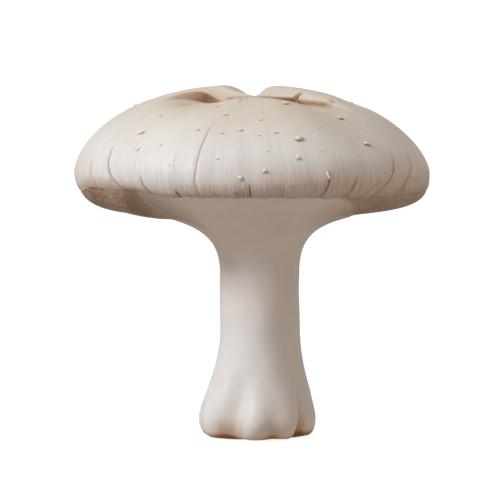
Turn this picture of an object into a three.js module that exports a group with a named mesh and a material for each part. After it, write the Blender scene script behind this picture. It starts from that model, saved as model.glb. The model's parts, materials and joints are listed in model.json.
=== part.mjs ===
// A fresh button mushroom standing on the flat cut of its foot: a broad cushioned cap with a rolled
// margin, and a pale stem that spreads under it. Millimetres, +Z up, the front faces -Y. The origin
// is on the resting surface, under the middle of the cap.
// A bearing is an angle seen from above, 0 at the front and growing towards +X.
import * as THREE from "three";

const degrees = THREE.MathUtils.degToRad;
const up = new THREE.Vector3(0, 0, 1);

// Cap, outside
const capWidth = 60; // left to right
const capDepth = 58.6; // front to back
const rimHeight = 45; // from the ground to the widest ring
const domeHeight = 14.6; // from the widest ring to the crest
const domePower = 2.3; // how long the crest stays level
const domeShoulder = 0.58; // how round the shoulder is
const crownLean = -0.8; // the crown stands this far to the right of the rim's middle
const skinInset = 0.85; // the skin's edge, in from the widest ring
const skinDrop = 2.4; // and down from it
const rollDepth = 3.6; // how steeply the rolled margin hangs from the skin's edge
const rollSlant = 1.3; // and how steeply it turns in
const rollReach = 4.5; // how far its underside runs level before it meets the stem

// Cleft across the crown, and the cleft that parts the two back lobes
const cleftSpan = 35; // the cross cleft's length, left to right
const cleftDepth = 2.2;
const cleftSetback = -3.2; // where it crosses the middle
const cleftSweep = 10.8; // how far its right end swings forward and its left end back
const cleftSlope = 5; // half width of its banks
const backCleftDepth = 2.3;
const backCleftWidth = 3.8;
const backCleftFrom = -3; // from the cross cleft
const backCleftTo = 20; // to where it has faded out, behind

// Stem
const stemDiameter = 13.5;
const stemOffset = 1.25; // the neck stands this far to the right of the cap's middle
const footOffset = 0.93; // and the foot this far
const footDiameter = 20.2; // at its widest
const footFace = 16.6; // diameter of the flat cut
const footBulge = 3.2; // height of the foot's widest ring
const footHeight = 18; // where the foot has narrowed to the stem
const neckDrop = 9.6; // the stem starts to spread this far below the flare's edge
const neckRise = 6.3; // and climbs this far before it bends outwards

// The stem's flare, the tongue that still holds the skin's edge at the front, and the seat in the cap
const flareDiameter = 33;
const flareDrop = 7.4; // from the widest ring down to the flare's edge
const flareReach = 0.63; // share of the spread over which the flare levels out
const flareFall = 0.16; // how steeply it reaches its edge
const tongueLip = 1.1; // the tongue stops this far inside the skin's edge
const tongueLeft = [degrees(-52), degrees(-42)]; // bearings where the tongue's left side starts and ends
const tongueRight = [degrees(35), degrees(78)]; // and its right side
const peakRise = 5.9; // the flare's middle above its edge
const seatGap = 0.3; // between the stem and the cap

// Valleys between the lobes of the foot: bearing, depth and the height where each fades out
const valleyWidth = degrees(11);
const footValleys = [
  { bearing: degrees(-127), depth: 1.3, height: 11 },
  { bearing: degrees(-80), depth: 0.8, height: 8 },
  { bearing: degrees(-28), depth: 1.35, height: 12 },
  { bearing: degrees(16), depth: 0.6, height: 6 },
  { bearing: degrees(54), depth: 1.4, height: 12.5 },
  { bearing: degrees(98), depth: 0.9, height: 9 },
  { bearing: degrees(141), depth: 1.2, height: 12 },
  { bearing: degrees(187), depth: 0.7, height: 7 },
];

// Facets
const columns = 72;
const domeRings = 16;
const edgeRings = 3;
const rollRings = 7;
const footRings = 8;
const neckRings = 4;
const flareRings = 9;

const outward = (bearing) => new THREE.Vector3(Math.sin(bearing), -Math.cos(bearing), 0);
const smooth = THREE.MathUtils.smoothstep;
const lerp = THREE.MathUtils.lerp;

// The point at a radius share of the cap's oval outline, at a height.
function onCap(bearing, share, inset, height) {
  const rim = new THREE.Vector3(
    (capWidth / 2) * Math.sin(bearing),
    (-capDepth / 2) * Math.cos(bearing),
    0,
  );
  return rim
    .multiplyScalar(share)
    .addScaledVector(outward(bearing), -inset)
    .setZ(height);
}

// How far the crown's clefts cut into the dome above a point.
function cleftAt(x, y) {
  const half = cleftSpan / 2;
  const across = (2 * x) / capWidth;
  const line = cleftSetback - cleftSweep * across * Math.abs(across);
  const fade = Math.max(0, 1 - (x / half) ** 4) ** 1.5;
  const cross = cleftDepth * fade * Math.exp(-(((y - line) / cleftSlope) ** 2));
  const along = smooth(y, backCleftFrom, 0) * (1 - smooth(y, backCleftTo / 2, backCleftTo));
  const back = backCleftDepth * along * Math.exp(-(Math.abs((2 * x) / backCleftWidth) ** 1.6));
  return Math.cbrt(cross ** 3 + back ** 3);
}

// The upper skin, from the widest ring (0) to the crown (1).
function domePoint(bearing, along) {
  const share = Math.cos((along * Math.PI) / 2);
  const rise = domeHeight * Math.max(0, 1 - share ** domePower) ** domeShoulder;
  const point = onCap(bearing, share, 0, rimHeight + rise);
  point.x += (crownLean * rise) / domeHeight;
  point.z -= cleftAt(point.x, point.y);
  return point;
}

// The skin below the widest ring, from its own edge, which is tucked in (0), to the widest ring (1).
function edgePoint(bearing, along) {
  const turn = ((1 - along) * Math.PI) / 2;
  const inset = skinInset * (1 - Math.cos(turn));
  return onCap(bearing, 1, inset, rimHeight - skinDrop * Math.sin(turn));
}

// 1 where the tongue holds the skin's edge, 0 where the margin has rolled clear of the stem.
function tongueAt(bearing) {
  const turned = THREE.MathUtils.euclideanModulo(bearing + Math.PI, 2 * Math.PI) - Math.PI;
  return turned < 0 ? smooth(turned, ...tongueLeft) : 1 - smooth(turned, ...tongueRight);
}

const flareHeight = rimHeight - flareDrop;

// The rim of the stem's flare.
function flareEdge(bearing) {
  const free = outward(bearing).multiplyScalar(flareDiameter / 2).setZ(flareHeight);
  const held = onCap(bearing, 1, skinInset + tongueLip, rimHeight - skinDrop - seatGap);
  return free.lerp(held, tongueAt(bearing));
}

// The rim of the cap's seat, one gap above the flare's rim and one gap outside it, square to it.
function seatEdge(bearing) {
  const step = (2 * Math.PI) / columns;
  const runs = flareEdge(bearing + step).sub(flareEdge(bearing - step));
  const away = runs.cross(up).setZ(0).normalize();
  return flareEdge(bearing).addScaledVector(away, seatGap).addScaledVector(up, seatGap);
}

// The peak of the flare, and with a gap the top of the seat over it.
const peak = (gap) => new THREE.Vector3(0, 0, flareHeight + peakRise + gap);

// The rolled margin, from the seat (0) to the skin's edge (1).
function rollPoint(bearing, along) {
  const from = seatEdge(bearing);
  const to = edgePoint(bearing, 0);
  const size = from.distanceTo(to) / ((capWidth - flareDiameter) / 2);
  const reach = from.clone().addScaledVector(outward(bearing), rollReach * size);
  const hang = to
    .clone()
    .addScaledVector(up, -rollDepth * size)
    .addScaledVector(outward(bearing), -rollSlant * size);
  return new THREE.CubicBezierCurve3(from, reach, hang, to).getPoint(along);
}

// How far the valleys between the foot's lobes cut in.
function valleyAt(bearing, height) {
  let depth = 0;
  for (const valley of footValleys) {
    const away = Math.abs(bearing - valley.bearing) % (2 * Math.PI);
    const angle = Math.min(away, 2 * Math.PI - away);
    const fade = 1 - smooth(height, footBulge, valley.height);
    depth += valley.depth * fade * Math.exp(-((angle / valleyWidth) ** 2));
  }
  return depth;
}

// The foot's outline, from the edge of the flat cut up to the stem.
const footOutline = new THREE.CurvePath();
footOutline.add(
  new THREE.CubicBezierCurve(
    new THREE.Vector2(footFace / 2, 0),
    new THREE.Vector2(lerp(footFace, footDiameter, 0.65) / 2, footBulge * 0.1),
    new THREE.Vector2(footDiameter / 2, footBulge / 2),
    new THREE.Vector2(footDiameter / 2, footBulge),
  ),
);
footOutline.add(
  new THREE.CubicBezierCurve(
    new THREE.Vector2(footDiameter / 2, footBulge),
    new THREE.Vector2(footDiameter / 2, footBulge * 2),
    new THREE.Vector2(stemDiameter / 2, lerp(footBulge, footHeight, 0.5)),
    new THREE.Vector2(stemDiameter / 2, footHeight),
  ),
);

const neckHeight = flareHeight - neckDrop;

function stemPoint(bearing, radius, height) {
  const lean = lerp(footOffset, stemOffset, smooth(height, 0, footHeight));
  const point = outward(bearing).multiplyScalar(radius - valleyAt(bearing, height));
  return point.add(new THREE.Vector3(lean, 0, height));
}

function footPoint(bearing, along) {
  const outline = footOutline.getPoint(along);
  return stemPoint(bearing, outline.x, outline.y);
}

const neckPoint = (bearing, along) =>
  stemPoint(bearing, stemDiameter / 2, lerp(footHeight, neckHeight, along));

// The flare, from the neck (0) to its rim (1).
function flarePoint(bearing, along) {
  const from = neckPoint(bearing, 1);
  const to = flareEdge(bearing);
  const spread = to.clone().sub(from).setZ(0);
  const rise = from.clone().addScaledVector(up, neckRise);
  const level = to
    .clone()
    .addScaledVector(spread, -flareReach)
    .addScaledVector(up, -flareFall * spread.length());
  return new THREE.CubicBezierCurve3(from, rise, level, to).getPoint(along);
}

// Rings of one stretch of a body. A ring is a function of the bearing alone; place is given the
// bearing and how far along the stretch the ring lies, the last one at 1.
const rings = (count, place) =>
  Array.from({ length: count }, (_, i) => (bearing) => place(bearing, (i + 1) / count));

// A body turned on a lathe, from its lower pole to its upper one, then drawn out ring by ring.
function body(name, bodyRings, material) {
  const last = bodyRings.length - 1;
  const profile = bodyRings.map((_, i) => new THREE.Vector2(Math.sin((Math.PI * i) / last), i));
  profile[last].x = 0;
  const geometry = new THREE.LatheGeometry(profile, columns);
  const position = geometry.getAttribute("position");
  for (let column = 0; column <= columns; column++) {
    const bearing = (2 * Math.PI * (column % columns)) / columns;
    bodyRings.forEach((ring, i) => {
      position.setXYZ(column * bodyRings.length + i, ...ring(bearing));
    });
  }
  geometry.computeVertexNormals();
  const mesh = new THREE.Mesh(geometry, material);
  mesh.name = name;
  return mesh;
}

const cap = body(
  "cap",
  [
    () => peak(seatGap),
    (bearing) => rollPoint(bearing, 0),
    ...rings(rollRings, rollPoint),
    ...rings(edgeRings, edgePoint),
    ...rings(domeRings, domePoint),
  ],
  new THREE.MeshStandardMaterial({ color: 0xe6dfd4, roughness: 0.55, metalness: 0 }),
);

const stem = body(
  "stem",
  [
    () => new THREE.Vector3(footOffset, 0, 0),
    (bearing) => footPoint(bearing, 0),
    ...rings(footRings, footPoint),
    ...rings(neckRings, neckPoint),
    ...rings(flareRings, flarePoint),
    () => peak(0),
  ],
  new THREE.MeshStandardMaterial({ color: 0xe0dad0, roughness: 0.5, metalness: 0 }),
);

const mushroom = new THREE.Group();
mushroom.name = "button_mushroom";
mushroom.add(cap, stem);

export default mushroom;
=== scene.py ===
"""A fresh button mushroom standing on the flat cut of its foot.

The cap is a skin over a rolled margin, and the stem spreads under it into a flare. Every piece is a
surface worked out on a grid of bearings and rings. Shape functions work in millimetres, with +Z up and
the front towards -Y. A bearing is an angle seen from above, 0 at the front and growing towards +X.
Left and right are as seen from the front.
"""

import json

import bpy
import numpy as np
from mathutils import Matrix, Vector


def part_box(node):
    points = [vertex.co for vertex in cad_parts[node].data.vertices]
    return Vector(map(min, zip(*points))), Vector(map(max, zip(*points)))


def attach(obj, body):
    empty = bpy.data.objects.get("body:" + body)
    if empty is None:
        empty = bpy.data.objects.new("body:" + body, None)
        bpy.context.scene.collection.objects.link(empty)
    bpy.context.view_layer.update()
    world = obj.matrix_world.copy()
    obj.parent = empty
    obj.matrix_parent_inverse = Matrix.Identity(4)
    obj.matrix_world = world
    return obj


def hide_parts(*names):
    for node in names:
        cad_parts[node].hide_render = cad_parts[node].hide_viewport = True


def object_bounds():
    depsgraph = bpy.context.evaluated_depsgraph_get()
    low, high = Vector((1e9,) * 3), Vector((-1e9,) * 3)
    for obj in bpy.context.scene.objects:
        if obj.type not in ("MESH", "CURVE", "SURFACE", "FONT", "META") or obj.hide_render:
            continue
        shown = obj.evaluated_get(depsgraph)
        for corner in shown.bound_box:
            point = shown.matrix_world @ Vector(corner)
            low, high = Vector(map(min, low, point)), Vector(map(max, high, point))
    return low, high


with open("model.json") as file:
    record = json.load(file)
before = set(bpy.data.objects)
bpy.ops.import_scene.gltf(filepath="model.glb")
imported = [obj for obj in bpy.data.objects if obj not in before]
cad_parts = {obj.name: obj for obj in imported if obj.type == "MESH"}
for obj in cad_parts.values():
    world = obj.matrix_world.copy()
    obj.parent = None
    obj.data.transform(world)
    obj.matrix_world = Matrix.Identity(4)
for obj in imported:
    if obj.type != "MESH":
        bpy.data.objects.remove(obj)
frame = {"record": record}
cad_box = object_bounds()

MM = 0.001

# Sizes that the CAD model settles, in mm
SEAT_GAP = 0.3  # the cap's seat stands this far over the flare's rim
FLARE_DROP = 7.4  # from the cap's widest ring down to the flare's rim
cap_low, cap_high = (np.array(corner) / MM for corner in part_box("cap"))
HALF_WIDTH, HALF_DEPTH = (cap_high - cap_low)[:2] / 2
FLARE_HEIGHT = cap_low[2] - SEAT_GAP
RIM_HEIGHT = FLARE_HEIGHT + FLARE_DROP  # the cap's widest ring
FOOT_OFFSET = frame["record"]["mounts"][0]["pos_m"][0] / MM

# The cap
DOME_HEIGHT = 14.6
DOME_POWER = 2.35  # how long the crest stays level
DOME_SHOULDER = 0.64  # how round the shoulder is
CROWN_LEAN = -0.8  # the crown stands this far to the right of the rim's middle
CURL_DEPTH = 1.8  # how far the skin curls under at the front
CURL_HEIGHT = 9.0  # and over what height
SPLIT_RADIUS = 28  # where the distance across a split is measured
UNDER_RINGS = 3  # rings of the skin's flat underside
MARGIN_LENGTH = 13.4  # from the flare's rim to the skin's edge where the margin is rolled

# The stem
FLARE_RADIUS = 16.5
PEAK_RISE = 5.9  # the flare's closed middle above its rim
STEM_RADIUS = 6.7
STEM_OFFSET = 1.25  # the neck stands this far to the right of the cap's middle
FOOT_RADIUS = 10.05  # at its widest
FOOT_FACE = 8.3  # radius of the flat cut
FOOT_BULGE = 3.2  # height of the foot's widest ring
FOOT_HEIGHT = 19.0  # where the foot has narrowed to the stem
NECK_HEIGHT = FLARE_HEIGHT - 9.6  # where the stem starts to spread

# Points in each ring
SKIN_COLUMNS = 576
MARGIN_COLUMNS = 720
STEM_COLUMNS = 560
WART_COLUMNS = 20

UP = np.array([0, 0, 1.0])


# ---------------------------------------------------------------- numbers and curves


def smooth(low, high, x):
    """0 below low, 1 above high, and 3t^2 - 2t^3 between them."""
    t = np.clip((x - low) / (high - low), 0, 1)
    return t * t * (3 - 2 * t)


def band(x, rise, fall):
    """Climbs smoothly from 0 to 1 between the two values of rise, and down again between those of fall."""
    return smooth(*rise, x) * (1 - smooth(*fall, x))


def bump(x, width):
    """A bell: e to the power of minus x over width, squared."""
    return np.exp(-((x / width) ** 2))


def through(at, values, x):
    """A smooth line through given values, by cubic steps whose slopes come from the neighbouring ones."""
    slope = np.gradient(values, at)
    k = np.clip(np.searchsorted(at, x) - 1, 0, len(at) - 2)
    step = at[k + 1] - at[k]
    t = np.clip((x - at[k]) / step, 0, 1)
    low = values[k] * (1 + 2 * t) + slope[k] * step * t
    high = values[k + 1] * (3 - 2 * t) + slope[k + 1] * step * (t - 1)
    return low * (1 - t) ** 2 + high * t**2


def turned(bearing):
    """A bearing in radians, brought between minus and plus half a turn."""
    return (bearing + np.pi) % (2 * np.pi) - np.pi


def turned_degrees(bearing):
    """A bearing in radians as degrees between -180 and 180."""
    return np.degrees(turned(bearing))


def all_round(columns):
    """The bearings of a ring's columns."""
    return np.arange(columns) * 2 * np.pi / columns


def outward(bearing):
    """The level direction straight out at a bearing."""
    return np.stack([np.sin(bearing), -np.cos(bearing), 0 * bearing], -1)


def cap_point(bearing, inset, height):
    """The point at a bearing that lies inset from the cap's oval rim, at a height."""
    out = outward(bearing)
    return np.stack([(HALF_WIDTH - inset) * out[..., 0], (HALF_DEPTH - inset) * out[..., 1], height], -1)


def length_along(points):
    """The length in mm from the first ring to each ring, at every bearing."""
    steps = np.linalg.norm(np.diff(points, axis=0), axis=-1)
    return np.vstack([np.zeros((1, points.shape[1])), np.cumsum(steps, 0)])


def fibre_place(around, spread, along):
    """A place for noise that closes up round the bearing: a circle of radius spread, and a distance."""
    return np.stack([spread * np.sin(around), spread * np.cos(around), along], -1)


def bezier(a, b, c, d, t):
    """The cubic Bezier curve from a to d, pulled towards b and then c."""
    s = 1 - t
    return a * s**3 + 3 * b * s**2 * t + 3 * c * s * t**2 + d * t**3


def ripple(bearing, along, turns, rises, size, seed):
    """The sum of twelve waves round the bearing and along the meridian.

    Each has a whole number of turns up to turns, up to rises waves along, a chance phase and height.
    """
    chance = np.random.default_rng(seed)
    total = 0
    for _ in range(12):
        around = chance.integers(1, turns + 1)
        wave = around * bearing + chance.uniform(-rises, rises) * along + chance.uniform(0, 2 * np.pi)
        total = total + chance.uniform(0.4, 1.0) * np.cos(wave)
    return size * total / 3


# ---------------------------------------------------------------- the cap's shape


# The cleft across the crown, read from left to right: x in mm, how far back its crease lies, how deep
# it is, how wide its front bank is and how wide the pillowed lobe behind it is.
CLEFT = np.array(
    [
        (-18.5, -8.5, 0.0, 6.0, 2.0),
        (-14.0, -3.8, 0.6, 8.0, 1.6),
        (-11.0, -2.1, 1.3, 10.0, 1.6),
        (-8.5, -1.9, 2.1, 9.0, 2.2),
        (-6.2, -2.6, 2.8, 8.0, 3.2),
        (-4.3, -3.6, 2.8, 6.3, 4.4),
        (-2.0, -3.9, 2.6, 5.1, 4.8),
        (1.0, -3.7, 2.6, 5.1, 5.0),
        (4.5, -3.9, 2.5, 5.3, 5.0),
        (7.5, -4.4, 1.95, 6.0, 4.4),
        (10.5, -5.3, 1.35, 7.5, 3.6),
        (13.0, -6.3, 0.75, 8.5, 3.0),
        (15.5, -7.8, 0.3, 8.5, 3.0),
        (19.0, -10.5, 0.0, 8.0, 3.0),
    ]
)


def cross_cleft(x, y):
    """The cleft across the crown: how far behind its crease a point is, the lobe's share and the depth.

    In front of the crease the bank is e to the minus (distance over width)^2.4, and behind it the lobe is
    a quarter ellipse that drops to the crease.
    """
    crease, deep, front, back = (through(CLEFT[:, 0], CLEFT[:, k], x) for k in (1, 2, 3, 4))
    behind = y - crease
    lobe = 1 - np.sqrt(np.clip(1 - np.clip(1 - behind / back, 0, 1) ** 2, 0, 1))
    bank = np.exp(-((np.abs(behind) / front) ** 2.4))
    return behind, lobe, deep * np.where(behind > 0, lobe, bank)


def back_cleft(x, y):
    """The cleft that parts the two lobes: the distance across it, how open it is, and its depth.

    It starts at the crease, sways a little and narrows as it runs back, where it fades out. Its left bank
    is a power of the distance, and its right bank drops steeply beside the cleft and gently beyond.
    """
    sway = 0.7 * smooth(6, 18, y) * np.sin(y / 5)
    across = (x - 0.4 - sway) / (1 - 0.62 * smooth(2, 20, y))
    left_bank = np.clip(1 + across / 5.4, 0, 1) ** 1.4
    steep, gentle = np.exp(-((np.abs(across) / 1.1) ** 1.1)), np.clip(1 - across / 4.2, 0, 1) ** 1.5
    open_share = band(y, (-5.0, -0.3), (8.6, 22.6))
    depth = 2.95 * open_share * np.where(across < 0, left_bank, 0.7 * steep + 0.3 * gentle)
    return across, open_share, depth


def crown_marks(x, y):
    """The small marks on the right: a rift into the lobe, a nick beside it, and a soft fold in front.

    The rift is a parabola across a slit that narrows along it. The nick is a bell. The fold is given as
    the distance behind a curved line, and its share from 0 to 1.
    """
    along, across = 0.7 * (x - 6.7) + 0.71 * (y + 4.6), 0.71 * (x - 6.7) - 0.7 * (y + 4.6)
    half_width = np.maximum(0.62 - 0.17 * along, 0.05)
    rift = np.clip(1 - (across / half_width) ** 2, 0, 1) * band(along, (-1.2, 0), (1.9, 2.9))
    nick = bump(x - 13.6, 0.45) * bump(y + 5.4, 0.6)
    fold = y + 13.3 - 0.06 * (x - 12) ** 2
    return rift, nick, fold, band(x, (7.5, 10), (14.5, 17))


def crown_hollow(x, y):
    """How far the crown is drawn in above a point, in mm.

    The deeper of the two clefts counts, by the cube root of the sum of their cubes. The rift, the nick,
    the fold and a shallow dip beside the right lobe come on top.
    """
    cross, parting = cross_cleft(x, y)[-1], back_cleft(x, y)[-1]
    rift, nick, fold, fold_share = crown_marks(x, y)
    fold_cut = 0.4 * fold_share * np.where(fold > 0, np.exp(-fold / 3.5), bump(fold, 0.5))
    dip = 0.35 * bump(x - 16.6, 2.4) * bump(y - 0.5, 5)
    return np.cbrt(cross**3 + parting**3) + 0.9 * rift + 0.4 * nick + fold_cut + dip


def crown_stain_and_shade(x, y):
    """How brown the crown is at a point, from 0 to 1: the sum of the marks that its clefts carry, partly real
    stain and partly painted shade in and along the clefts.
    """
    behind, lobe, _ = cross_cleft(x, y)
    gap, open_share, _ = back_cleft(x, y)
    rift, nick, fold, fold_share = crown_marks(x, y)

    # The banks of the crease: the lobes' wall on the left, partly stain and partly painted shade, a painted
    # shadow along their lip, painted shade under the right end, and a wedge in front that is partly stain and
    # partly painted shade
    wall = np.where(behind > 0, lobe, 1) * smooth(-1.8, -0.2, behind)
    wall_top = 0.18 + 0.66 * smooth(-9.4, -4, x)
    left_wall = band(x, (-15.5, -9), (-4.4, -3.4)) * smooth(wall_top - 0.05, wall_top + 0.1, wall)
    # Painted shadow: a dark line along the lobes' lip, where the gap behind the front lip lies in shade
    lip_share = (0.55 * smooth(-5, -3.5, x) + 0.45 * smooth(0, 2, x)) * (1 - smooth(6.5, 8.5, x))
    lip = smooth(0.5, 0.66, wall) * lip_share
    wedge = band(behind, (-9.5, -4.5), (-0.4, 0)) * band(x, (1.5, 5), (6.5, 9.5))
    shade = band(behind, (-5, -0.6), (0.05, 0.3)) * band(x, (6.5, 8), (12, 14))
    corner = bump(x + 5.9, 2.6) * bump(behind + 0.6, 1.7)
    crease = 0.7 * left_wall + lip + 0.6 * wedge + 0.75 * shade + 0.6 * corner

    # In front of it: a smudge on the left that is partly a brown mark and partly painted shade in the hollow,
    # three streaks that run down, and a broad faint haze
    smudge_and_shade = 0.3 * bump(x + 11.6, 1.8) * bump(y + 10.4, 1.1) + 0.2 * bump(x + 11, 4) * bump(y + 8, 3)
    streaks = bump(x + 1.9, 0.4) + 0.6 * bump(x + 0.9, 0.25) + 0.3 * bump(x - 5.5, 0.5)
    streaks = 0.75 * streaks * smooth(-17, -9, y) * (behind < 0)
    shoulders = bump(x + 9.5, 4) + 0.75 * band(x, (2, 7), (16, 20))
    haze = 0.15 * smooth(-17, -11, behind) * shoulders + 0.16 * smooth(-9, -3, behind) * bump(x + 2, 5)
    haze = haze * (1 - smooth(-0.3, 0.1, behind))

    cracks = np.minimum(2.5 * rift, 0.8) + 0.7 * nick + 0.5 * fold_share * bump(fold, 0.35)
    # Painted shade, partly brown, down the cleft between the back lobes
    cleft_side = 0.7 * open_share * bump(gap + 0.1, 0.5) * (1 - smooth(2, 14, y))
    return np.clip(crease + smudge_and_shade + streaks + haze + cracks + cleft_side, 0, 1)


def tongue(bearing):
    """1 where the stem's flare holds the skin's edge at the front, 0 where the margin is rolled."""
    return band(turned_degrees(bearing), (-51, -46), (30, 62))


def curl(bearing, above):
    """How far the skin curls under at the front: most at its edge, by the square of the height to go."""
    front = smooth(0.2, 0.85, np.cos(bearing))
    return CURL_DEPTH * front * np.clip(1 - above / CURL_HEIGHT, 0, 1) ** 2


def skin_edge(bearing):
    """The skin's lower edge: how far in from the widest ring, and how far down.

    It is a little ragged. It hangs lower on the right, higher at the front left, and lower and further
    in again at the far left.
    """
    ragged = ripple(bearing, 0, 90, 0, 0.05, 5) + ripple(bearing, 0, 200, 0, 0.035, 6)
    turn = turned_degrees(bearing)
    right = band(turn, (8, 34), (80, 130))
    front_left = band(turn, (-31, -47), (-64, -78))
    far_left = band(turn, (-66, -80), (-95, -130))
    drop = 2.36 + ragged + 0.32 * right - 0.72 * front_left + 0.4 * far_left
    inset = 0.38 + 0.87 * smooth(0.1, 0.9, tongue(bearing)) + curl(bearing, 0) + 0.45 * far_left
    return inset, drop


# Long splits in the skin: how deep, which side stands proud, and the bearings in degrees that each
# one passes through at heights in mm along the skin above its edge.
SPLITS = [
    (0.30, 1, [(-57.0, 9.0), (-57.0, 7.2), (-56.6, 5.8), (-56.0, 4.5), (-55.0, 3.4), (-53.6, 2.4),
               (-51.2, 1.1), (-48.5, 0)]),
    (0.24, 1, [(-39.3, 4.2), (-39.2, 3.4), (-38.8, 2.4), (-37.6, 1.2), (-35.6, 0)]),
    (0.28, -1, [(-26.4, 2.2), (-26.0, 1.2), (-25.2, 0)]),
    (0.11, -1, [(-14.8, 19.0), (-16.8, 13.7), (-18.0, 9.2), (-18.5, 5.9), (-19.2, 3.1), (-18.2, 1.0),
                (-17, 0)]),
    (0.26, 1, [(-0.9, 3.6), (-0.7, 2.0), (-0.5, 0)]),
    (0.14, -1, [(-5.6, 2.3), (-5.2, 1.2), (-4.6, 0)]),
    (0.14, 1, [(-3.4, 2.6), (-3.0, 1.2), (-2.6, 0)]),
    (0.12, 1, [(10.6, 3.4), (10.4, 1.6), (10.1, 0)]),
    (0.34, -1, [(26.6, 6.2), (26.4, 4.6), (26.0, 3.4), (24.9, 1.7), (23.4, 0)]),
    (0.26, -1, [(36.9, 4.6), (36.7, 3.6), (36.0, 2.6), (34.7, 1.4), (32.4, 0)]),
    (0.14, -1, [(46.3, 3.2), (45.4, 2.4), (41.8, 0.8), (40.5, 0)]),
    (0.28, -1, [(57.2, 8.4), (56.0, 6.1), (54.5, 4.4), (51.5, 2.6), (48.0, 1.0), (46.0, 0)]),
    (0.26, -1, [(68.6, 9.0), (67.2, 6.1), (65.5, 4.4), (61.5, 2.5), (58.0, 0.6), (57.0, 0)]),
]


def more_splits():
    """Splits placed by chance: short ones all round the edge, and long ones on the sides and the back."""
    chance = np.random.default_rng(41)
    found = []
    for bearing in np.arange(-70, 290, 3.2):
        start = bearing + chance.uniform(-0.5, 0.5)
        tall, lean = chance.uniform(0.6, 2.4), chance.uniform(-0.7, 0.7)
        if any(abs(start - path[-1][0]) < 2.8 for _, _, path in SPLITS):
            continue
        found.append((chance.uniform(0.04, 0.1), chance.choice([-1, 1]), [(start + lean, tall), (start, 0)]))
    for bearing in np.arange(82, 296, 13.0):
        start = bearing + chance.uniform(-5, 5)
        tall = chance.choice([2.5, 4.0, 6.5, 11.0]) * chance.uniform(0.8, 1.2)
        lean = chance.uniform(-5, 5)
        path = [(start + lean * h**2, tall * (1 - h)) for h in (0, 0.25, 0.5, 0.75, 1)]
        found.append((chance.uniform(0.1, 0.2), chance.choice([-1, 1]), path))
    return found


def split_field(bearing, above):
    """The splits over the skin: relief in mm, distance in mm across the nearest one, and its strength.

    The distance is the bearing away from the split's own bearing at that height, times the radius.
    The relief is a bell-shaped groove, with the skin on one side of it curled up and settling with
    distance. A split fades out at its top end.
    """
    relief, side, strength = np.zeros_like(above), np.ones_like(above), np.zeros_like(above)
    for depth, proud, path in SPLITS + more_splits():
        at, height = np.radians([p[0] for p in path]), [p[1] for p in path]
        course = np.interp(above, height[::-1], at[::-1])
        away = turned(bearing - course) * SPLIT_RADIUS
        top = height[0]
        taper = (1 - smooth(0.55 * top, top, above)) * (0.35 + 0.65 * smooth(0, 0.8, above + 0.3))
        near = (1 - smooth(0.5, 0.75, np.abs(away))) * taper
        lifted = np.where(away * proud > 0, np.exp(-np.abs(away) / 0.9), 0)
        relief += taper * depth * (0.45 * lifted - 0.5 * bump(away, 0.36))
        wins = near > strength
        side = np.where(wins, np.clip(away, -1, 1), side)
        strength = np.maximum(strength, near * min(1, depth / 0.26))
    return relief, side, strength


def normals_of(rings):
    """The direction straight out of each point of a grid of rings that run downwards, for nudging it."""
    round_it = np.roll(rings, -2, 1) - np.roll(rings, 2, 1)
    out = np.cross(np.gradient(rings, axis=0), round_it)
    return out / np.linalg.norm(out, axis=-1, keepdims=True)


def dome_and_tuck(bearing):
    """The plain dome, from near its crest down to its widest ring, and the skin tucked in below it.

    The dome rises by the height times (1 - share^power)^shoulder over an oval whose share of the rim is
    the sine of an angle. Below the widest ring the skin follows part of an ellipse to its edge.
    """
    parts = ((0, 0.5, 93), (0.5, 1.3, 41), (1.3, np.pi / 2, 13))
    share = np.sin(np.concatenate([np.linspace(*part)[1:] for part in parts]))[:, None]
    rise = DOME_HEIGHT * np.clip(1 - share**DOME_POWER, 0, None) ** DOME_SHOULDER
    dome = share[..., None] * cap_point(bearing, 0, 0 * bearing)
    dome[..., 0] += CROWN_LEAN * rise / DOME_HEIGHT
    dome[..., 2] = RIM_HEIGHT + rise

    inset, drop = skin_edge(bearing)
    last = np.radians(50 + 40 * tongue(bearing))
    tuck = np.append(np.linspace(0, 1, 17)[1:-1], [0.988, 1])[:, None] * last
    tucked = (inset - curl(bearing, 0)) * (1 - np.cos(tuck)) / (1 - np.cos(last))
    return np.concatenate([dome, cap_point(bearing, tucked, RIM_HEIGHT - drop * np.sin(tuck) / np.sin(last))])


def dry_and_shade_reach(bearing):
    """How many mm above its edge the skin is browned: real drying, reaching further up at the front right as
    painted shade, and less far at the left.
    """
    turn = turned_degrees(bearing)
    return 4.2 + 4.8 * band(turn, (-8, 20), (62, 90)) - 1.6 * band(turn, (-15, -40), (-80, -110))


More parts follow.
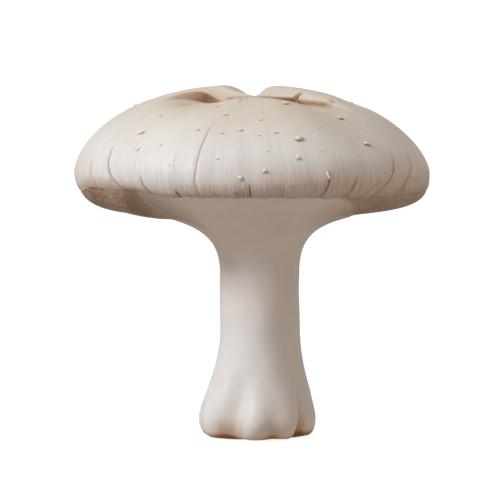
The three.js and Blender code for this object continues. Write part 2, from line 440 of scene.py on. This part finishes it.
def cap_skin_rings():
    """The cap's skin, from the middle of its flat underside out to its edge and over the dome.

    The dome curls under at the front. Slow ripples keep it from being even and the splits are pressed
    into it, both square to it, and then the crown is drawn in by its hollows.
    """
    bearing = all_round(SKIN_COLUMNS)
    points = dome_and_tuck(bearing)
    length = length_along(points)
    above = length[-1] - length
    around = np.broadcast_to(bearing, above.shape)
    slope = smooth(0.35, 0.75, np.hypot(points[..., 0] / HALF_WIDTH, points[..., 1] / HALF_DEPTH))
    points -= curl(around, above)[..., None] * outward(bearing)
    swell = ripple(around, 0.2 * above, 9, 1, 0.16, 3) * slope * smooth(-1, 6, above)
    pleat = ripple(around, 0.1 * above, 34, 1, 0.05, 4) * slope * (1 - smooth(3, 16, above))
    fluff = ripple(around, above, 240, 3, 0.03, 7) * (1 - smooth(0.3, 2.2, above))
    relief, side, strength = split_field(around, above)
    points += normals_of(points) * (swell + pleat + fluff + relief)[..., None]
    # The crown's brown: real stain, and painted shade in and along its clefts
    brown_amount = crown_stain_and_shade(points[..., 0], points[..., 1])
    points[..., 2] -= crown_hollow(points[..., 0], points[..., 1])

    lip = points[-1] - 0.55 * outward(bearing) + 0.12 * UP
    middle = (RIM_HEIGHT - 1.5) * UP
    flat = [lip * (1 - t) + middle * t for t in (0.6, 0.25, 0)]
    maps = {
        "fibre": fibre_place(around, 100, 0.16 * length),
        "above_edge": above,
        "split_side": side,
        "split_near": strength,
        "brown_amount": brown_amount,
        # Browned band above the edge: real drying, partly painted shade where it reaches higher at the front
        # right
        "dry_and_shade": 1 - smooth(0.2, dry_and_shade_reach(around), above),
    }
    for name, values in maps.items():
        maps[name] = np.concatenate([np.repeat(values[-1:], UNDER_RINGS, 0), values[::-1]])
    return np.concatenate([flat, points[::-1]]), np.array([middle, points[0].mean(0)]), maps


def margin_curve(bearing, t):
    """The rolled margin before it sags: a cubic Bezier curve from the flare's rim to the skin's edge.

    It leaves the flare low and outwards, more steeply at the right, and comes up to the skin's edge
    from just above the flare's height, so it hangs as a fat roll. At the left it hangs further in.
    """
    out, turn = outward(bearing), turned_degrees(bearing)[:, None]
    right, left = bump(turn - 92, 16), band(turn, (-60, -80), (-105, -140))
    inset, drop = skin_edge(bearing)
    start = flare_rim(bearing) + 0.03 * out + 0.05 * UP
    end = cap_point(bearing, inset + 0.03, RIM_HEIGHT - drop + 0.25)
    size = np.linalg.norm(end - start, axis=-1, keepdims=True) / MARGIN_LENGTH
    leave = start + size * ((4.4 - 3.2 * right) * out + (0.2 + 0.9 * right) * UP)
    hang = end - size * (0.3 + 0.65 * left) * out
    hang[:, 2:] = start[:, 2:] + (0.85 - 0.25 * right) * size
    return bezier(start, leave, hang, end, t[..., None])


def margin_brown(around, across):
    """How brown the rolled margin is: more away from the flare, then less towards the skin's edge.

    Where it was handled, at the front left, it is paler inside and stays brown out to the edge.
    """
    handled = band(turned_degrees(around), (-40, -50), (-85, -110))
    inner = smooth(0.05, 0.45, across) * (1 - 0.25 * handled * (1 - smooth(0.4, 0.8, across)))
    outer = 1 - (0.75 - 0.85 * handled) * smooth(0.6, 1, across)
    return np.clip((1 - tongue(around)) * inner * outer, 0, 1.1)


def margin_rings():
    """The rolled margin, from the flare's rim out to the skin's edge, and closed above inside the cap.

    Between its ends it sags by slow ripples where it is free. A slit at the right is a bell that leans.
    """
    bearing, t = all_round(MARGIN_COLUMNS), np.linspace(0, 1, 61)[:, None]
    across = t + 0 * bearing
    around = np.broadcast_to(bearing, across.shape)
    rolled = 1 - tongue(around)
    sag = ripple(around, 3 * across, 16, 1, 0.16, 21) + ripple(around, 5 * across, 60, 1, 0.05, 22)
    sag = sag * rolled * np.sin(np.pi * across) ** 0.6
    past = turned_degrees(around - np.radians(62))
    slit = bump(past, 4.5) * bump(across - 0.3 - 0.012 * past, 0.07)
    points = margin_curve(bearing, t) - sag[..., None] * (0.8 * UP - 0.4 * outward(bearing))
    points += (0.55 * slit)[..., None] * UP
    closing = (0.12, 0.5)
    maps = {
        "fibre": fibre_place(around, 15, 1.5 * length_along(points)),
        "brown_amount": np.clip(margin_brown(around, across) + slit, 0, 1.4),
        "browned": np.clip(rolled + smooth(0, 0.6, across), 0, 1),
    }
    for name, values in maps.items():
        maps[name] = np.concatenate([values, np.repeat(values[-1:], len(closing), 0)])
    flat = [points[-1] * (1 - s) + RIM_HEIGHT * UP * s for s in closing]
    poles = np.array([(FLARE_HEIGHT + PEAK_RISE + 0.1) * UP, RIM_HEIGHT * UP])
    return np.concatenate([points, flat]), poles, maps


# ---------------------------------------------------------------- the stem's shape


def flare_rim(bearing):
    """The rim of the stem's flare: a ring, drawn out to the skin's edge where the tongue holds it.

    The free ring is a little higher on both sides of the tongue, and dips at the right.
    """
    inset, drop = skin_edge(bearing)
    turn = turned_degrees(bearing)
    raised = 0.35 * bump(turn + 68, 24) + 0.7 * bump(turn - 60, 22) - 0.4 * bump(turn - 93, 15)
    free = FLARE_RADIUS * outward(bearing) + (FLARE_HEIGHT + raised)[:, None] * UP
    full = cap_point(bearing, inset + 0.3, RIM_HEIGHT - drop + 0.13)
    held = tongue(bearing)[:, None]
    return free * (1 - held) + full * held


# Valleys between the foot's lobes: bearing at the ground and at the top in degrees, depth, half widths
# to the left and to the right in degrees, and the height in mm where each fades out.
VALLEYS = [
    (-127, -118, 1.4, 10, 10, 11),
    (-84, -80, 0.9, 9, 9, 8),
    (-34, -22, 1.9, 20, 15, 14),
    (17, 16, 0.9, 12, 13, 8),
    (51, 56, 2.2, 7, 6, 13),
    (98, 94, 1.0, 10, 10, 9),
    (141, 150, 1.3, 10, 10, 12),
    (187, 180, 0.8, 12, 12, 7),
]

# How strongly the foot's edge is browned at each bearing in degrees: real drying, made stronger from 50 to 90
# degrees as painted contact shade under the right lobe
FOOT_BROWNING_AND_SHADE = np.array(
    [
        (-180, 0.8),
        (-75, 0.9),
        (-42, 1.1),
        (-24, 0.5),
        (-7, 0.4),
        (7, 0.8),
        (20, 1.1),
        (34, 0.7),
        (50, 1.6),
        (66, 1.9),
        (88, 1.7),
        (115, 0.9),
        (180, 0.8),
    ]
)


# How far the ends of the front lobes turn up from the ground: bearing and half width in degrees, and mm
LOBE_LIFTS = [(-65, 28, 0.2), (-20, 10, 0.3), (0, 16, 0.2), (26, 14, 0.45), (68, 22, 0.45)]


def valley_depth(bearing, height):
    """How far the valleys cut in: the sum of bells across the bearing, each fading with height.

    A narrow valley has a sharper bell, with the power 1.4 in place of 2.
    """
    total = np.zeros(np.broadcast(bearing, height).shape)
    for low, high, depth, left, right, top in VALLEYS:
        course = np.radians(low + (high - low) * np.clip(2 * height / top, 0, 1))
        away = turned_degrees(bearing - course)
        fade = 1 - smooth(0.15 * top, top, height)
        power = 1.4 if left < 8 else 2
        total += depth * fade * np.exp(-(np.abs(away / np.where(away < 0, left, right)) ** power))
    return total


def stem_outline():
    """Radius and height of each ring, from the flat cut up to the neck.

    One cubic Bezier curve runs under the foot's bulge and one from there up to the straight column.
    """
    bulge, column = [FOOT_RADIUS, FOOT_BULGE], [STEM_RADIUS, FOOT_HEIGHT]
    face, below = [FOOT_FACE, 0], [FOOT_FACE * 0.35 + FOOT_RADIUS * 0.65, 0.1]
    under = np.array([face, below, [FOOT_RADIUS, FOOT_BULGE / 2], bulge])
    over = np.array([bulge, [FOOT_RADIUS, FOOT_BULGE * 2], [STEM_RADIUS, 10.6], column])
    return np.concatenate(
        [
            [[FOOT_FACE * share, 0.0] for share in (0.4, 0.75, 0.93)],
            bezier(*under, np.linspace(0, 1, 15)[:, None]),
            bezier(*over, np.linspace(0, 1, 37)[1:, None]),
            [[STEM_RADIUS, height] for height in np.linspace(FOOT_HEIGHT, NECK_HEIGHT, 17)[1:]],
        ]
    )


def foot_and_column(bearing):
    """The stem up to its neck: the outline turned round its leaning middle, less the lobes' valleys.

    Slow ripples keep it from being round, the front of the foot is flattened a little, and the ends of
    the front lobes turn up from the ground.
    """
    outline = stem_outline()
    radius, height = outline[:, :1], outline[:, 1:]
    around = np.broadcast_to(bearing, (len(outline), len(bearing)))
    outer = np.minimum(1, radius / FOOT_FACE)
    wander = ripple(around, 0.25 * height, 5, 1, 0.13, 31)
    wander = wander * band(height, (0, 3), (NECK_HEIGHT - 4, NECK_HEIGHT))
    dent = ripple(around, 0.8 * height, 11, 1, 0.05, 33) * smooth(0.5, 3, height)
    front = 0.3 * np.maximum(np.cos(around), 0) ** 2 * (1 - smooth(0, 3.5, height)) * outer
    lean = FOOT_OFFSET + (STEM_OFFSET - FOOT_OFFSET) * smooth(0, FOOT_HEIGHT, height)
    turn = turned_degrees(around)
    lift = sum(size * bump(turn - at, width) for at, width, size in LOBE_LIFTS)
    reach = radius - valley_depth(around, height) * outer**3 + wander + dent - front
    points = reach[..., None] * outward(bearing)
    points[..., 0] += lean
    points[..., 2] = height + lift * (1 - smooth(0, 3, height)) * outer**4
    return points


def stem_rings():
    """The stem, from the middle of its cut foot up to the peak of the flare inside the cap.

    The flare is a Bezier curve at each bearing from the neck to its rim. The foot is stained where it
    touched the ground and down in its valleys, and near the ground, most of all at the right, that
    brown is partly painted contact shade. The flare is browned where the margin hangs free.
    """
    bearing = all_round(STEM_COLUMNS)
    points = foot_and_column(bearing)
    neck, rim = points[-1], flare_rim(bearing)
    spread = (rim - neck) * (1 - UP)
    level = rim - 0.63 * spread - 0.16 * np.linalg.norm(spread, axis=-1, keepdims=True) * UP
    t = np.append(np.linspace(0, 1, 62)[1:-1], [0.996, 1])[:, None, None]
    flare = bezier(neck, neck + 6.3 * UP, level, rim, t)
    peak = (FLARE_HEIGHT + PEAK_RISE) * UP
    rings = np.concatenate([points, flare, [rim * (1 - s) + peak * s for s in (0.02, 0.5)]])

    around, tall = np.broadcast_to(bearing, rings.shape[:2]), rings[..., 2]
    # Brown near the ground: real drying, and partly painted contact shade, strongest under the right lobe
    dried_and_shaded = through(*FOOT_BROWNING_AND_SHADE.T, turned_degrees(around))
    contact = (1 - smooth(0.2, 0.6 + 0.8 * dried_and_shaded, tall)) * dried_and_shaded
    valley = np.clip(valley_depth(around, tall), 0, 1) ** 2
    soil = 0.55 * valley * (1 - smooth(1.0, 5.0, tall))
    from_rim = np.arange(len(rings))[:, None] - (len(points) + len(flare) - 1)
    maps = {
        "fibre": fibre_place(around, 26, 0.22 * tall),
        "brown_amount": np.clip(contact + soil, 0, 1.3),
        "browned": 0.62 * smooth(-40, 0, from_rim) * np.sqrt(1 - tongue(around)) * (tall > FOOT_HEIGHT),
    }
    return rings, np.array([[FOOT_OFFSET, 0, 0], peak]), maps


# ---------------------------------------------------------------- warts and flakes on the skin


# The plain ones at the front: bearing in degrees, height in mm along the skin above its edge, half
# length, half width, height and turn in degrees. The long ones are flakes of skin that lift.
WARTS = [
    (-47.2, 11.9, 0.80, 0.42, 0.34, 15),
    (18.8, 11.9, 0.75, 0.58, 0.55, 10),
    (47.8, 9.9, 0.85, 0.42, 0.45, -25),
    (-4.0, 4.2, 0.45, 0.40, 0.42, 0),
    (16.2, 7.7, 0.42, 0.38, 0.40, 20),
    (4.5, 5.4, 0.45, 0.38, 0.42, 0),
    (25.6, 4.6, 0.30, 0.95, 0.34, 10),
    (23.8, 23.0, 0.62, 0.80, 0.40, -10),
    (47.8, 17.3, 0.62, 0.60, 0.36, -35),
    (-3.7, 14.2, 0.50, 0.26, 0.30, 5),
    (10.5, 13.4, 0.40, 0.22, 0.24, -5),
    (-43.0, 8.1, 0.24, 0.45, 0.24, -20),
    (-46.8, 17.0, 0.40, 0.30, 0.20, 20),
    (-11.5, 18.5, 0.42, 0.28, 0.22, 0),
    (5.8, 17.1, 0.40, 0.25, 0.20, 0),
    (-18.8, 21.8, 0.45, 0.28, 0.20, 20),
    (-21.2, 14.0, 0.36, 0.25, 0.22, 0),
    (-11.0, 13.3, 0.42, 0.20, 0.18, 0),
    (3.7, 12.9, 0.28, 0.20, 0.18, 0),
    (6.0, 9.4, 0.36, 0.15, 0.15, -25),
    (-55.5, 15.7, 0.38, 0.25, 0.15, 15),
    (-33.5, 10.0, 0.28, 0.24, 0.15, 0),
    (-28.2, 6.2, 0.22, 0.30, 0.12, 0),
    (-11.0, 7.6, 0.24, 0.24, 0.15, 0),
    (30.0, 14.9, 0.25, 0.22, 0.12, 0),
    (48.2, 13.7, 0.25, 0.22, 0.12, 0),
    (22.0, 25.0, 0.25, 0.22, 0.12, 0),
    (40.2, 21.7, 0.25, 0.22, 0.12, 0),
    (25.5, 9.2, 0.22, 0.20, 0.14, 0),
]


def more_warts():
    """Warts on the sides and the back, scattered by chance like those at the front."""
    chance = np.random.default_rng(17)
    found = []
    for _ in range(62):
        size = chance.choice([0.2, 0.3, 0.4, 0.65], p=[0.45, 0.3, 0.18, 0.07]) * chance.uniform(0.85, 1.2)
        bearing, above = chance.uniform(98, 264), 4 + 20 * chance.uniform(0, 1) ** 0.8
        half_width, tall = size * chance.uniform(0.55, 0.95), size * chance.uniform(0.45, 0.7)
        found.append((bearing, above, size, half_width, tall, chance.uniform(-40, 40)))
    return found


def wart_dome(seat, half_length, half_width, tall, turn, seed):
    """One wart: an uneven low dome whose lower edge lifts, with its foot sunk in the skin.

    Over a disc of radius s and angle a, the height is tall times (1 - s^2)^0.6 and leans downhill, and
    the outline is an oval with three chance waves. The first ring goes under to close it.
    """
    centre, across, down, normal = seat
    chance = np.random.default_rng(seed)
    angle = all_round(WART_COLUMNS)
    s = np.array([0.8, 1.0, 0.95, 0.83, 0.66, 0.45, 0.22])[:, None]
    sunk = np.array([0.34, 0.16, 0, 0, 0, 0, 0])[:, None]
    waves = (chance.uniform(0.3, 1) * np.cos(k * angle + chance.uniform(0, 6.3)) for k in (2, 3, 5))
    outline = 1 + 0.13 * sum(waves)
    u, v = half_length * s * outline * np.cos(angle), half_width * s * outline * np.sin(angle)
    h = tall * np.clip(1 - s**2, 0, 1) ** 0.6 * (1 - 0.35 * v / half_width) - sunk
    cosine, sine = np.cos(np.radians(turn)), np.sin(np.radians(turn))
    u, v = u * cosine - v * sine, u * sine + v * cosine
    rings = centre + u[..., None] * across - v[..., None] * down + h[..., None] * normal
    return rings, (rings[0].mean(0), centre + tall * normal), s**3 + 0 * angle


# ---------------------------------------------------------------- meshes


def ring_faces(count, columns):
    """The four- and the three-sided faces of a closed body of rings, each running with the bearing.

    Points are numbered ring by ring upwards, then the lower and the upper pole, so faces turn outwards.
    """
    ring, column = np.meshgrid(np.arange(count - 1), np.arange(columns), indexing="ij")
    here, there = ring * columns + column, ring * columns + (column + 1) % columns
    quads = np.stack([here, there, there + columns, here + columns], -1).reshape(-1, 4)
    first, last = np.arange(columns), (count - 1) * columns + np.arange(columns)
    low, high = np.full(columns, count * columns), np.full(columns, count * columns + 1)
    bottom = np.stack([np.roll(first, -1), first, low], -1)
    top = np.stack([last, np.roll(last, -1), high], -1)
    return quads, np.concatenate([bottom, top])


def closed_piece(name, bodies, poles, maps):
    """A piece of one or more closed bodies of rings, each with a lower and an upper pole, in mm.

    Every body has the same faces, so they are worked out once and numbered on from body to body. The
    maps are values painted on it, and a pole takes the mean of the ring beside it.
    """
    count, columns = bodies.shape[-3:-1]
    points = np.concatenate([bodies.reshape(-1, count * columns, 3), poles.reshape(-1, 2, 3)], 1)
    start = np.arange(len(points))[:, None, None] * points.shape[1]
    faces = [(start + same).reshape(-1, same.shape[1]).tolist() for same in ring_faces(count, columns)]
    mesh = bpy.data.meshes.new(name)
    mesh.from_pydata((points.reshape(-1, 3) * MM).tolist(), [], faces[0] + faces[1])
    for map_name, values in maps.items():
        values = values.reshape(len(points), count, columns, -1)
        ends = values[:, [0, -1]].mean(2)
        flat = np.concatenate([values.reshape(len(points), count * columns, -1), ends], 1)
        kind, socket = ("FLOAT_VECTOR", "vector") if flat.shape[-1] == 3 else ("FLOAT", "value")
        layer = mesh.attributes.new(map_name, kind, "POINT")
        layer.data.foreach_set(socket, flat.astype(np.float32).ravel())
    mesh.shade_smooth()
    piece = bpy.data.objects.new(name, mesh)
    bpy.context.scene.collection.objects.link(piece)
    return piece


def skin_seat(rings, above_edge, bearing, above):
    """The place of a wart on the skin: its centre, the directions across and downhill, and the normal."""
    columns = rings.shape[1]
    column = int(round((bearing % 360) / 360 * columns)) % columns
    row = UNDER_RINGS + int(np.abs(above_edge[UNDER_RINGS:, column] - above).argmin())
    row = min(row, len(rings) - 4)
    across = rings[row, (column + 3) % columns] - rings[row, column - 3]
    down = rings[row - 2, column] - rings[row + 2, column]
    across, down = across / np.linalg.norm(across), down / np.linalg.norm(down)
    normal = np.cross(down, across)
    return rings[row, column], across, down, normal / np.linalg.norm(normal)


def wart_bodies(rings, above_edge):
    """All the warts, each a closed body of its own that stands in the skin."""
    found = []
    for seed, (bearing, above, *shape) in enumerate(WARTS + more_warts()):
        found.append(wart_dome(skin_seat(rings, above_edge, bearing, above), *shape, seed))
    bodies, poles, edges = (np.array(part) for part in zip(*found))
    return bodies, poles, {"wart_edge": edges}


# ---------------------------------------------------------------- materials


def linear(hex_colour):
    """An sRGB colour such as "e6e0d6" as linear red, green, blue and alpha."""
    srgb = np.array([int(hex_colour[i : i + 2], 16) for i in (0, 2, 4)]) / 255
    values = np.where(srgb <= 0.04045, srgb / 12.92, ((srgb + 0.055) / 1.055) ** 2.4)
    return (*values.tolist(), 1.0)


def add(tree, kind, inputs=None, out=0, **settings):
    """Adds a node with its settings, sets or links its inputs by name or place, and gives an output."""
    made = tree.nodes.new("ShaderNode" + kind)
    for name, value in settings.items():
        setattr(made, name, value)
    for socket, value in (inputs or {}).items():
        if isinstance(value, bpy.types.NodeSocket):
            tree.links.new(value, made.inputs[socket])
        else:
            made.inputs[socket].default_value = value
    return made.outputs[out] if made.outputs else None


def painted(tree, name, out=2):
    """A map painted on the mesh: its value, or its vector with out 1."""
    return add(tree, "Attribute", out=out, attribute_name=name)


def noise(tree, place, scale, detail=3.0, roughness=0.5):
    """Cloudy noise over a place."""
    return add(tree, "TexNoise", {"Vector": place, "Scale": scale, "Detail": detail, "Roughness": roughness})


def ramp(tree, value, low, high, least=0.0, most=1.0, curve="LINEAR"):
    """Runs from least to most while a value goes from low to high."""
    return add(tree, "MapRange", {0: value, 1: low, 2: high, 3: least, 4: most}, interpolation_type=curve)


def calc(tree, operation, *values, clamp=False):
    """A sum, a product or the like of values."""
    return add(tree, "Math", dict(enumerate(values)), operation=operation, use_clamp=clamp)


def tint(tree, share, *colours):
    """A colour with a share of a second one. Each is a hex colour or comes from another node."""
    first, second = (linear(colour) if isinstance(colour, str) else colour for colour in colours)
    return add(tree, "Mix", {0: share, 6: first, 7: second}, 2, data_type="RGBA")


def finish_flesh(tree, colour, roughness, height, specular=0.45, sheen=0.1):
    """The shader of living flesh: heights in mm become bumps, and light goes about 0.7 mm into it."""
    normal = add(tree, "Bump", {"Height": height, "Distance": MM, "Strength": 1.0})
    shader = add(
        tree,
        "BsdfPrincipled",
        {
            "Base Color": colour,
            "Roughness": roughness,
            "IOR": 1.4,
            "Specular IOR Level": specular,
            "Subsurface Weight": 0.3,
            "Subsurface Radius": (1.0, 0.62, 0.4),
            "Subsurface Scale": 0.7 * MM,
            "Sheen Weight": sheen,
            "Sheen Roughness": 0.45,
            "Normal": normal,
        },
        subsurface_method="RANDOM_WALK",
    )
    add(tree, "OutputMaterial", {"Surface": shader})


def blank(name):
    """A new material with an empty node tree."""
    material = bpy.data.materials.new(name)
    material.use_nodes = True
    material.node_tree.nodes.clear()
    return material, material.node_tree


def cap_skin_material():
    """Mushroom skin (pileipellis): fine silky fibres laid down the meridians as the cap grew.

    They give the eye a pearly satin with faint streaks 0.3 mm apart at the rim, brown where the skin's
    edge has dried and where it has split. The brown in the clefts of the crown is partly real stain
    and partly painted shade; the dried band is partly painted shade higher up at the front right.
    """
    material, tree = blank("silky_mushroom_skin")
    place = add(tree, "TexCoord", out=3)
    fibre = painted(tree, "fibre", 1)
    above = painted(tree, "above_edge")
    side = painted(tree, "split_side")
    near = painted(tree, "split_near")
    brown_amount = painted(tree, "brown_amount")

    fine = noise(tree, fibre, 1.1, 3.0, 0.6)
    coarse = noise(tree, fibre, 0.28, 3.0, 0.55)
    cloud = noise(tree, place, 70.0)
    grain = noise(tree, place, 2600.0, 2.0, 0.6)

    crown = ramp(tree, above, 7.0, 20.0, curve="SMOOTHSTEP")
    pearl = tint(tree, crown, "e4dfd9", "dbd0be")
    patch = ramp(tree, cloud, 0.42, 0.68, 0.0, 0.55)
    pearl = tint(tree, patch, pearl, "dacfc2")

    streak = ramp(tree, fine, 0.48, 0.72, 0.0, 0.42)
    low = ramp(tree, above, 1.0, 13.0, 1.0, 0.14, curve="SMOOTHSTEP")
    streak = calc(tree, "MULTIPLY", streak, low)
    pearl = tint(tree, streak, pearl, "b89c84")
    broad = ramp(tree, coarse, 0.52, 0.75, 0.0, 0.2)
    pearl = tint(tree, broad, pearl, "c9b49c")

    ragged = calc(tree, "MULTIPLY_ADD", fine, 5.5, -2.75)
    reach = calc(tree, "ADD", above, ragged)
    # The dried band is real browning, and it reaches higher at the front right as painted shade
    dry_and_shade = painted(tree, "dry_and_shade")
    patchy = ramp(tree, fine, 0.3, 0.7, 0.2, 0.56)
    dried_and_shaded = calc(tree, "MULTIPLY", dry_and_shade, patchy)
    pearl = tint(tree, dried_and_shaded, pearl, "ba8f69")
    hem = ramp(tree, reach, 1.4, -0.6, 0.0, 0.36)
    pearl = tint(tree, hem, pearl, "9a673f")

    # The crown's clefts: partly real stain and partly painted shade along their lip, wall and under the right
    # lobe
    stain_and_shade_tint = calc(tree, "MULTIPLY_ADD", fine, 0.7, 0.65)
    stain_and_shade_tint = calc(tree, "MULTIPLY", stain_and_shade_tint, brown_amount, clamp=True)
    pearl = tint(tree, stain_and_shade_tint, pearl, "a87750")
    deepest_stain_and_shade = ramp(tree, brown_amount, 0.7, 1.0, 0.0, 0.7)
    pearl = tint(tree, deepest_stain_and_shade, pearl, "7b5138")

    away = calc(tree, "ABSOLUTE", side)
    line = ramp(tree, away, 0.17, 0.05, curve="SMOOTHSTEP")
    line = calc(tree, "MULTIPLY", line, near)
    halo = ramp(tree, away, 0.55, 0.1, 0.0, 0.35)
    halo = calc(tree, "MULTIPLY", halo, near)
    pearl = tint(tree, halo, pearl, "c29a7c")
    pearl = tint(tree, line, pearl, "8e6446")

    height = calc(tree, "MULTIPLY", fine, 0.05)
    height = calc(tree, "MULTIPLY", height, low)
    height = calc(tree, "MULTIPLY_ADD", grain, 0.006, height)
    height = calc(tree, "MULTIPLY_ADD", coarse, 0.035, height)
    height = calc(tree, "MULTIPLY_ADD", line, -0.12, height)
    roughness = ramp(tree, fine, 0.3, 0.7, 0.40, 0.54)
    finish_flesh(tree, pearl, roughness, height, sheen=0.04)
    return material


def margin_material():
    """Rolled margin: bare flesh and torn veil, brown where it was handled, with coarse fibres round it.

    It gives the eye a dull beige-brown with darker streaks about 0.7 mm apart that run along the rim.
    """
    material, tree = blank("browned_mushroom_margin")
    place = add(tree, "TexCoord", out=3)
    fibre = painted(tree, "fibre", 1)
    brown_amount = painted(tree, "brown_amount")
    streak = noise(tree, fibre, 1.0, 4.0, 0.6)
    cloud = noise(tree, place, 160.0)
    mottle = calc(tree, "MULTIPLY_ADD", streak, 1.6, -0.3)
    mottle = calc(tree, "MULTIPLY_ADD", cloud, 1.1, mottle)
    mottle = ramp(tree, mottle, 0.75, 1.5)
    brown = calc(tree, "MULTIPLY", mottle, brown_amount, clamp=True)
    browned = painted(tree, "browned")
    plain = tint(tree, brown_amount, "bcae9b", "ac917b")
    plain = tint(tree, browned, "e5ddd4", plain)
    colour = tint(tree, brown, plain, "7a553b")
    height = calc(tree, "MULTIPLY", streak, 0.12)
    roughness = ramp(tree, streak, 0.3, 0.7, 0.55, 0.7)
    finish_flesh(tree, colour, roughness, height, specular=0.35)
    return material


def stem_material():
    """Stem flesh (stipe): smooth, close-packed upright fibres under a thin satin skin.

    It gives the eye an even warm white, with a faint upright grain, orange-brown where the cut foot
    has dried and where soil has stained the valleys between its lobes. Near the ground, darkest at the
    right, that brown is partly painted contact shade.
    """
    material, tree = blank("satin_mushroom_stem")
    place = add(tree, "TexCoord", out=3)
    fibre = painted(tree, "fibre", 1)
    brown_amount = painted(tree, "brown_amount")
    grain = noise(tree, fibre, 1.0)
    cloud = noise(tree, place, 90.0)
    warm = ramp(tree, cloud, 0.4, 0.7, 0.0, 0.5)
    colour = tint(tree, warm, "e9e3dd", "e0d6ca")
    faint = ramp(tree, grain, 0.5, 0.8, 0.0, 0.08)
    colour = tint(tree, faint, colour, "c9b8a4")
    # The foot's brown is partly real stain and partly painted contact shade near the ground
    foot_stain_and_shade = calc(tree, "MULTIPLY_ADD", cloud, 0.9, 0.6)
    foot_stain_and_shade = calc(tree, "MULTIPLY", foot_stain_and_shade, brown_amount, clamp=True)
    colour = tint(tree, foot_stain_and_shade, colour, "c78d5c")
    darkest_foot_stain_and_shade = ramp(tree, brown_amount, 0.8, 1.3, 0.0, 0.8)
    colour = tint(tree, darkest_foot_stain_and_shade, colour, "7d4c2b")
    browned = painted(tree, "browned")
    colour = tint(tree, browned, colour, "a08770")
    height = calc(tree, "MULTIPLY", grain, 0.01)
    roughness = ramp(tree, grain, 0.3, 0.7, 0.36, 0.46)
    finish_flesh(tree, colour, roughness, height)
    return material


def wart_material():
    """Warts: scraps of the same skin, dried, and brown round their edges, partly as real browning and partly
    as painted shade where each wart meets the skin.
    """
    material, tree = blank("dried_skin_scraps")
    place = add(tree, "TexCoord", out=3)
    # The brown round each wart's edge is partly real browning and partly painted shade where it meets the
    # skin
    edge = painted(tree, "wart_edge")
    cloud = noise(tree, place, 1500.0)
    mixed = calc(tree, "MULTIPLY_ADD", cloud, 0.9, -0.45)
    mixed = calc(tree, "ADD", edge, mixed)
    brown = ramp(tree, mixed, 0.35, 1.0, 0.0, 0.85)
    colour = tint(tree, brown, "eadfce", "a87c55")
    height = calc(tree, "MULTIPLY", cloud, 0.05)
    finish_flesh(tree, colour, 0.5, height, specular=0.4)
    return material


# ---------------------------------------------------------------- the mushroom

skin, skin_poles, skin_maps = cap_skin_rings()
cap_skin = closed_piece("cap_skin", skin, skin_poles, skin_maps)
cap_margin = closed_piece("cap_margin", *margin_rings())
flared_stem = closed_piece("flared_stem", *stem_rings())
skin_warts = closed_piece("skin_warts", *wart_bodies(skin, skin_maps["above_edge"]))

for piece, material, node, slot in (
    (cap_skin, cap_skin_material(), "cap", "cap_skin"),
    (cap_margin, margin_material(), "cap", "cap_skin"),
    (skin_warts, wart_material(), "cap", "cap_skin"),
    (flared_stem, stem_material(), "stem", "stem_flesh"),
):
    piece.data.materials.append(material)
    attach(piece, "root")
    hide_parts(node)

# ---------------------------------------------------------------- floor, light and camera


FLOOR_HEIGHT = -2e-5  # in m, just under the foot


def floor_material():
    """Matt white board under even light, so bright that it blends into the background."""
    material, tree = blank("white_board")
    board = add(tree, "BsdfDiffuse", {"Color": (0.3, 0.3, 0.3, 1)})
    glow = add(tree, "Emission", {"Color": (1, 1, 1, 1), "Strength": 0.9})
    add(tree, "OutputMaterial", {"Surface": add(tree, "AddShader", {0: board, 1: glow})})
    return material


floor_mesh = bpy.data.meshes.new("floor")
corners = [(x, y, FLOOR_HEIGHT) for x, y in ((-4, -4), (4, -4), (4, 8), (-4, 8))]
floor_mesh.from_pydata(corners, [], [(0, 1, 2, 3)])
floor_mesh.materials.append(floor_material())
floor = bpy.data.objects.new("floor", floor_mesh)
floor.visible_diffuse = False
floor.visible_glossy = False
bpy.context.scene.collection.objects.link(floor)

world = bpy.data.worlds.new("studio")
world.use_nodes = True
air = world.node_tree
air.nodes.clear()
seen = add(air, "LightPath")
backdrop = add(air, "Background", {"Color": (1, 1, 1, 1), "Strength": 1.1})
upwards = ramp(air, add(air, "SeparateXYZ", {0: add(air, "TexCoord")}, 2), -0.5, 0.4, curve="SMOOTHSTEP")
low_wall, high_wall = (0.45, 0.375, 0.32, 1), (0.49, 0.438, 0.402, 1)
fill = add(air, "Background", {"Color": tint(air, upwards, low_wall, high_wall), "Strength": 1.0})
studio = add(air, "MixShader", {0: seen, 1: fill, 2: backdrop})
add(air, "OutputWorld", {"Surface": studio})
bpy.context.scene.world = world


def aimed(name, data, bearing, elevation, distance, target):
    """Puts a light or camera at a bearing and elevation in degrees round a target, facing it."""
    turn, tilt = np.radians(bearing), np.radians(elevation)
    away = np.array([np.sin(turn) * np.cos(tilt), -np.cos(turn) * np.cos(tilt), np.sin(tilt)])
    thing = bpy.data.objects.new(name, data)
    thing.location = np.array(target) + distance * away
    thing.rotation_euler = (np.pi / 2 - tilt, 0, turn)
    bpy.context.scene.collection.objects.link(thing)
    return thing


def soft_light(name, size, energy, colour, bearing, elevation, distance):
    """A round light that faces the middle of the mushroom, with its size and distance in m."""
    light = bpy.data.lights.new(name, "AREA")
    light.shape = "DISK"
    light.size = size
    light.energy = energy
    light.color = colour
    aimed(name, light, bearing, elevation, distance, (0, 0, 0.04))


soft_light("soft_window", 0.27, 7.3, (0.78, 0.88, 1.0), -61, 32, 1.0)
soft_light("soft_ceiling", 0.8, 1.8, (0.86, 0.93, 1.0), 10, 75, 1.2)

# A long lens looks down on it by 5 degrees from 1.5 m away
lens = bpy.data.cameras.new("camera")
lens.lens = 638.7
lens.clip_end = 20
middle = (cad_box[0] + cad_box[1]) / 2
camera = aimed("camera", lens, 0, 5, 1.5, (middle.x - 0.36 * MM, 0, 31.75 * MM))
bpy.context.scene.camera = camera
bpy.context.scene.view_settings.view_transform = "Standard"
